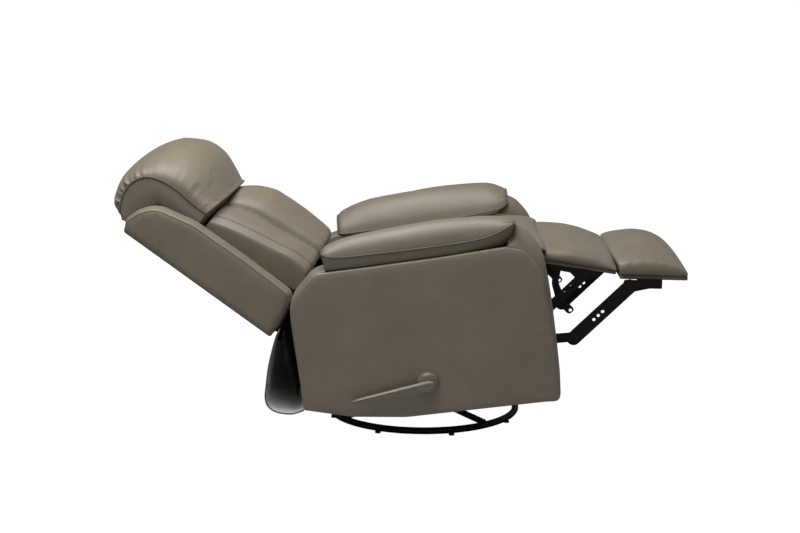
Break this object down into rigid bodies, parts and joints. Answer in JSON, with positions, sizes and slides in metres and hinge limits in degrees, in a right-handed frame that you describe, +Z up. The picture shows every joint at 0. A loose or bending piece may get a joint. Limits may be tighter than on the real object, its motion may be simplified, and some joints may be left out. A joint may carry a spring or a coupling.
{
  "type": "swivel glider recliner",
  "caption": "Leather swivel glider recliner with padded arms, pillow back, side release lever and a folding footrest, on a round tube base, shown reclined.",
  "frame": {"origin": "on the floor at the centre of the ring base, on the swivel axis", "axes": "+X is the way the sitter faces, +Y is the sitter's left, +Z up; shown reclined with the footrest out"},
  "size_m": [1.801, 0.8724, 0.9042],
  "materials": {
    "greige_leather": "soft grained leather, satin, taupe grey",
    "flap_leather": "grained leather outside, pale cloth lining inside",
    "board_leather": "wood board wrapped in smooth leather",
    "black_steel": "semi-gloss black powder coat",
    "bright_steel": "zinc plated steel",
    "rubber_feet": "matt black rubber",
    "frame_wood": "plain sawn plywood",
    "webbing": "woven elastic webbing",
    "lever_plastic": "moulded plastic, taupe grey, satin"
  },
  "bodies": {
    "base": {"base_ring": "black_steel", "base_cross_arms": "black_steel", "base_feet": "rubber_feet", "swivel_lower_race": "bright_steel", "swivel_king_bolt": "bright_steel", "swivel_bearing_balls": "bright_steel"},
    "carriage": {"swivel_upper_race": "bright_steel", "carriage_frame": "black_steel", "glide_top_pins": "bright_steel"},
    "front_links": {"glide_links_front": "black_steel", "glide_low_pins_front": "bright_steel"},
    "rear_links": {"glide_links_rear": "black_steel", "glide_low_pins_rear": "bright_steel"},
    "cradle": {"cradle_rails": "black_steel", "cradle_cross_tubes": "black_steel", "tilt_pins": "bright_steel"},
    "chassis": {"arm_frames": "frame_wood", "arm_inner_panels": "greige_leather", "arm_outer_panel_right": "greige_leather", "arm_outer_panel_left": "greige_leather", "arm_front_band_right": "greige_leather", "arm_front_band_left": "greige_leather", "arm_pad_right": "greige_leather", "arm_pad_left": "greige_leather", "mechanism_plates": "black_steel", "mechanism_pins": "black_steel", "seat_cross_tubes": "black_steel", "tilt_brackets": "black_steel", "seat_deck_frame": "frame_wood", "seat_springs": "bright_steel", "seat_cushion": "greige_leather", "rear_rail": "frame_wood", "rear_skirt": "flap_leather", "back_hinge_brackets": "black_steel", "back_hinge_pins": "bright_steel"},
    "backrest": {"back_frame": "frame_wood", "back_rear_panel": "greige_leather", "back_webbing": "webbing", "back_hinge_arms": "black_steel", "back_wing_right": "greige_leather", "back_wing_left": "greige_leather", "lumbar_cushion": "greige_leather", "head_pillow": "greige_leather"},
    "lower_links": {"lower_inner_links": "black_steel", "lower_knee_rivets": "black_steel"},
    "long_links": {"long_footrest_links": "black_steel", "foot_pivot_rivets": "black_steel"},
    "foot_rest": {"foot_brackets": "black_steel", "foot_board": "board_leather", "foot_pad": "greige_leather"},
    "upper_links": {"upper_inner_links": "black_steel", "upper_knee_rivets": "black_steel"},
    "mid_links": {"mid_footrest_links": "black_steel", "mid_pivot_rivets": "black_steel"},
    "mid_rest": {"mid_brackets": "black_steel", "mid_struts": "black_steel", "mid_board": "board_leather", "mid_pad": "greige_leather"},
    "lever": {"release_lever": "lever_plastic", "drive_tube": "black_steel"}
  },
  "joints": [
    {"name": "swivel", "type": "hinge", "parent": "base", "child": "carriage", "pos_m": [0, 0, 0.06], "axis": [0, 0, 1], "continuous": true},
    {"name": "glide", "type": "hinge", "parent": "carriage", "child": "front_links", "pos_m": [0.11, 0, 0.225], "axis": [0, 1, 0], "range_deg": [-14, 14]},
    {"name": "cradle_level", "type": "hinge", "parent": "front_links", "child": "cradle", "pos_m": [0.11, 0, 0.125], "axis": [0, 1, 0], "range_deg": [-14, 14]},
    {"name": "rear_glide", "type": "hinge", "parent": "carriage", "child": "rear_links", "pos_m": [-0.11, 0, 0.225], "axis": [0, 1, 0], "range_deg": [-14, 14]},
    {"name": "body_tilt", "type": "hinge", "parent": "cradle", "child": "chassis", "pos_m": [-0.04, 0, 0.195], "axis": [0, 1, 0], "range_deg": [0, 7]},
    {"name": "recline", "type": "hinge", "parent": "chassis", "child": "backrest", "pos_m": [-0.40976, 0, 0.45194], "axis": [0, 1, 0], "range_deg": [0, 32]},
    {"name": "footrest", "type": "hinge", "parent": "chassis", "child": "lower_links", "pos_m": [0.30001, 0, 0.30031], "axis": [0, 1, 0], "range_deg": [0, 150]},
    {"name": "long_link_turn", "type": "hinge", "parent": "lower_links", "child": "long_links", "pos_m": [0.47841, 0, 0.31617], "axis": [0, 1, 0], "range_deg": [-138, 0]},
    {"name": "foot_pad_turn", "type": "hinge", "parent": "long_links", "child": "foot_rest", "pos_m": [0.64323, 0, 0.47544], "axis": [0, 1, 0], "range_deg": [0, 70]},
    {"name": "upper_link_turn", "type": "hinge", "parent": "chassis", "child": "upper_links", "pos_m": [0.31377, 0, 0.4098], "axis": [0, 1, 0], "range_deg": [0, 150]},
    {"name": "mid_link_turn", "type": "hinge", "parent": "upper_links", "child": "mid_links", "pos_m": [0.41041, 0, 0.41865], "axis": [0, 1, 0], "range_deg": [-153, 0]},
    {"name": "mid_pad_turn", "type": "hinge", "parent": "mid_links", "child": "mid_rest", "pos_m": [0.49854, 0, 0.50503], "axis": [0, 1, 0], "range_deg": [0, 77]},
    {"name": "lever_turn", "type": "hinge", "parent": "chassis", "child": "lever", "pos_m": [0.02171, 0, 0.20367], "axis": [0, 1, 0], "range_deg": [0, 90]}
  ],
  "couplings": [
    {"joint": "cradle_level", "follows": "glide", "ratio": -1},
    {"joint": "rear_glide", "follows": "glide", "ratio": 1},
    {"joint": "body_tilt", "follows": "recline", "ratio": 0.21875},
    {"joint": "long_link_turn", "follows": "footrest", "ratio": -0.91333},
    {"joint": "foot_pad_turn", "follows": "footrest", "ratio": 0.45933},
    {"joint": "upper_link_turn", "follows": "footrest", "ratio": 1},
    {"joint": "mid_link_turn", "follows": "footrest", "ratio": -1.0147},
    {"joint": "mid_pad_turn", "follows": "footrest", "ratio": 0.51},
    {"joint": "lever_turn", "follows": "footrest", "ratio": 0.6}
  ]
}
